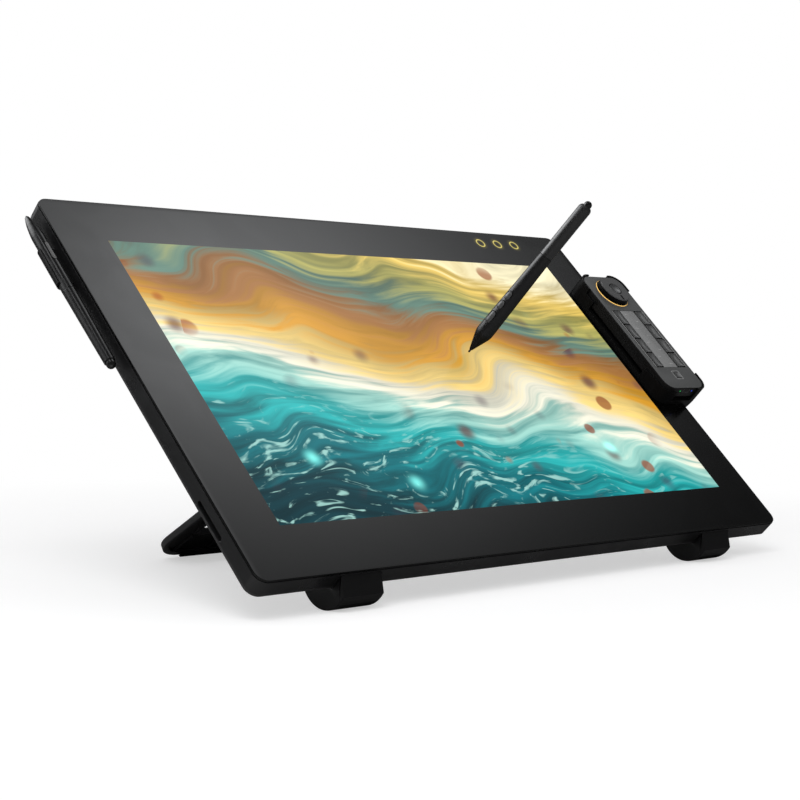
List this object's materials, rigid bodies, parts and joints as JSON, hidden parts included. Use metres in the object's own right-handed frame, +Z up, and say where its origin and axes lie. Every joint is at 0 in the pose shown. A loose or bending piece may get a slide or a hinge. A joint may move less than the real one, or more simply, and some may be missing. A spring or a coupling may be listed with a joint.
{
  "type": "graphics tablet with screen",
  "caption": "Pen display on round front feet and a folding rear leg, with a quick-key remote in a cradle, a drawing pen on the glass and a slim pen in a side clip.",
  "frame": {"origin": "middle of the underside of the whole object's box, on the table", "axes": "+Z up, +X to the right of someone facing the screen, +Y away from that person"},
  "size_m": [0.6556, 0.3256, 0.3155],
  "materials": {
    "screen_glass": "satin anti-glare cover glass with a dark printed border",
    "panel": "liquid-crystal panel",
    "diffuser": "white light guide",
    "circuit": "green solder mask",
    "shield": "plain sheet",
    "foam": "black foam tape",
    "gold_light": "gold light guide",
    "frame_black": "satin black coat",
    "housing_black": "fine matte texture",
    "deep_black": "satin black",
    "steel": "plain",
    "brass": "turned",
    "rubber": "matte black rubber",
    "remote_face": "satin dark grey",
    "key_grey": "satin grey",
    "dial_grey": "satin dark grey",
    "window": "smoked clear lens",
    "cell": "plain foil",
    "signal_light": "clear light pipe",
    "pen_black": "satin black",
    "button_grey": "satin dark grey",
    "nib": "matte",
    "eraser": "gloss black"
  },
  "bodies": {
    "tablet": {"cover_glass": "screen_glass", "glass_gasket": "foam", "lcd_panel": "panel", "backlight_unit": "diffuser", "sensor_board": "circuit", "shield_plate": "shield", "touch_key_lights": "gold_light", "touch_key_board": "circuit", "mid_frame": "frame_black", "rear_cover": "housing_black", "pod_cover": "housing_black", "main_board": "circuit", "port_sockets": "steel", "vesa_inserts": "brass", "housing_screws": "steel", "front_feet": "deep_black", "foot_pads": "rubber", "hinge_brackets": "frame_black", "hinge_pins": "steel", "pen_clip": "deep_black", "remote_cradle": "deep_black"},
    "leg": {"stand_leg": "frame_black", "leg_strip": "rubber"},
    "remote": {"remote_base": "deep_black", "remote_top": "remote_face", "remote_board": "circuit", "remote_battery": "cell", "remote_display": "panel", "remote_window": "window", "dial_light_ring": "gold_light", "status_lights": "signal_light", "remote_socket": "steel", "remote_screws": "steel"},
    "pen": {"pen_grip": "pen_black", "pen_barrel": "pen_black", "pen_core": "brass"},
    "slim_pen": {"slim_barrel": "pen_black", "slim_core": "brass"},
    "power_key": {"power_key": "deep_black"},
    "key_1": {"key_1": "key_grey"},
    "key_2": {"key_2": "key_grey"},
    "key_3": {"key_3": "key_grey"},
    "key_4": {"key_4": "key_grey"},
    "key_5": {"key_5": "key_grey"},
    "key_6": {"key_6": "key_grey"},
    "key_7": {"key_7": "key_grey"},
    "key_8": {"key_8": "key_grey"},
    "square_key": {"square_key": "key_grey"},
    "dial": {"dial": "dial_grey"},
    "dial_button": {"dial_button": "dial_grey"},
    "remote_switch": {"remote_switch": "deep_black"},
    "pen_nib": {"pen_nib": "nib"},
    "pen_button_1": {"pen_button_1": "button_grey"},
    "pen_button_2": {"pen_button_2": "button_grey"},
    "pen_button_3": {"pen_button_3": "button_grey"},
    "pen_eraser": {"pen_eraser": "eraser"},
    "slim_nib": {"slim_nib": "nib"},
    "slim_rocker": {"slim_rocker": "key_grey"},
    "slim_eraser": {"slim_eraser": "eraser"}
  },
  "joints": [
    {"name": "leg_hinge", "type": "hinge", "parent": "tablet", "child": "leg", "pos_m": [-0.00385, -0.03944, 0.1188], "axis": [1, 0, 0], "range_deg": [-21.18, 73.82]},
    {"name": "remote_lift", "type": "slide", "parent": "tablet", "child": "remote", "axis": [0, -0.6959, 0.7181], "range_m": [0, 0.06]},
    {"name": "dial_turn", "type": "hinge", "parent": "remote", "child": "dial", "pos_m": [0.29605, 0.02964, 0.24193], "axis": [0, -0.6959, 0.7181], "continuous": true},
    {"name": "dial_press", "type": "slide", "parent": "remote", "child": "dial_button", "axis": [0, 0.6959, -0.7181], "range_m": [0, 0.0006], "stiffness_N_per_m": 700, "springref_m": -0.0005},
    {"name": "key_1_press", "type": "slide", "parent": "remote", "child": "key_1", "axis": [0, 0.6959, -0.7181], "range_m": [0, 0.0006], "stiffness_N_per_m": 700, "springref_m": -0.0005},
    {"name": "key_2_press", "type": "slide", "parent": "remote", "child": "key_2", "axis": [0, 0.6959, -0.7181], "range_m": [0, 0.0006], "stiffness_N_per_m": 700, "springref_m": -0.0005},
    {"name": "key_3_press", "type": "slide", "parent": "remote", "child": "key_3", "axis": [0, 0.6959, -0.7181], "range_m": [0, 0.0006], "stiffness_N_per_m": 700, "springref_m": -0.0005},
    {"name": "key_4_press", "type": "slide", "parent": "remote", "child": "key_4", "axis": [0, 0.6959, -0.7181], "range_m": [0, 0.0006], "stiffness_N_per_m": 700, "springref_m": -0.0005},
    {"name": "key_5_press", "type": "slide", "parent": "remote", "child": "key_5", "axis": [0, 0.6959, -0.7181], "range_m": [0, 0.0006], "stiffness_N_per_m": 700, "springref_m": -0.0005},
    {"name": "key_6_press", "type": "slide", "parent": "remote", "child": "key_6", "axis": [0, 0.6959, -0.7181], "range_m": [0, 0.0006], "stiffness_N_per_m": 700, "springref_m": -0.0005},
    {"name": "key_7_press", "type": "slide", "parent": "remote", "child": "key_7", "axis": [0, 0.6959, -0.7181], "range_m": [0, 0.0006], "stiffness_N_per_m": 700, "springref_m": -0.0005},
    {"name": "key_8_press", "type": "slide", "parent": "remote", "child": "key_8", "axis": [0, 0.6959, -0.7181], "range_m": [0, 0.0006], "stiffness_N_per_m": 700, "springref_m": -0.0005},
    {"name": "square_key_press", "type": "slide", "parent": "remote", "child": "square_key", "axis": [0, 0.6959, -0.7181], "range_m": [0, 0.0006], "stiffness_N_per_m": 700, "springref_m": -0.0005},
    {"name": "switch_slide", "type": "slide", "parent": "remote", "child": "remote_switch", "axis": [0, 0.7181, 0.6959], "range_m": [0, 0.003]},
    {"name": "pen_lift", "type": "slide", "parent": "tablet", "child": "pen", "axis": [0.3451, -0.5211, 0.7806], "range_m": [0, 0.2]},
    {"name": "pen_nib_press", "type": "slide", "parent": "pen", "child": "pen_nib", "axis": [0.3451, -0.5211, 0.7806], "range_m": [0, 0.0006], "stiffness_N_per_m": 700, "springref_m": -0.0005},
    {"name": "pen_button_1_press", "type": "slide", "parent": "pen", "child": "pen_button_1", "axis": [0.9362, 0.1324, -0.3255], "range_m": [0, 0.0004], "stiffness_N_per_m": 700, "springref_m": -0.0005},
    {"name": "pen_button_2_press", "type": "slide", "parent": "pen", "child": "pen_button_2", "axis": [0.9362, 0.1324, -0.3255], "range_m": [0, 0.0004], "stiffness_N_per_m": 700, "springref_m": -0.0005},
    {"name": "pen_button_3_press", "type": "slide", "parent": "pen", "child": "pen_button_3", "axis": [0.9362, 0.1324, -0.3255], "range_m": [0, 0.0004], "stiffness_N_per_m": 700, "springref_m": -0.0005},
    {"name": "pen_eraser_press", "type": "slide", "parent": "pen", "child": "pen_eraser", "axis": [-0.3451, 0.5211, -0.7806], "range_m": [0, 0.0005], "stiffness_N_per_m": 700, "springref_m": -0.0005},
    {"name": "slim_pen_lift", "type": "slide", "parent": "tablet", "child": "slim_pen", "axis": [0, -0.6959, 0.7181], "range_m": [0, 0.05]},
    {"name": "slim_nib_press", "type": "slide", "parent": "slim_pen", "child": "slim_nib", "axis": [0, -0.7181, -0.6959], "range_m": [0, 0.0006], "stiffness_N_per_m": 700, "springref_m": -0.0005},
    {"name": "slim_rocker_tilt", "type": "hinge", "parent": "slim_pen", "child": "slim_rocker", "pos_m": [-0.3212, 0.08319, 0.25679], "axis": [1, 0, 0], "range_deg": [-2, 2], "stiffness_Nm_per_rad": 0.05},
    {"name": "slim_eraser_press", "type": "slide", "parent": "slim_pen", "child": "slim_eraser", "axis": [0, 0.7181, 0.6959], "range_m": [0, 0.0005], "stiffness_N_per_m": 700, "springref_m": -0.0005},
    {"name": "power_press", "type": "slide", "parent": "tablet", "child": "power_key", "axis": [0, -0.7181, -0.6959], "range_m": [0, 0.0006], "stiffness_N_per_m": 700, "springref_m": -0.0005}
  ]
}
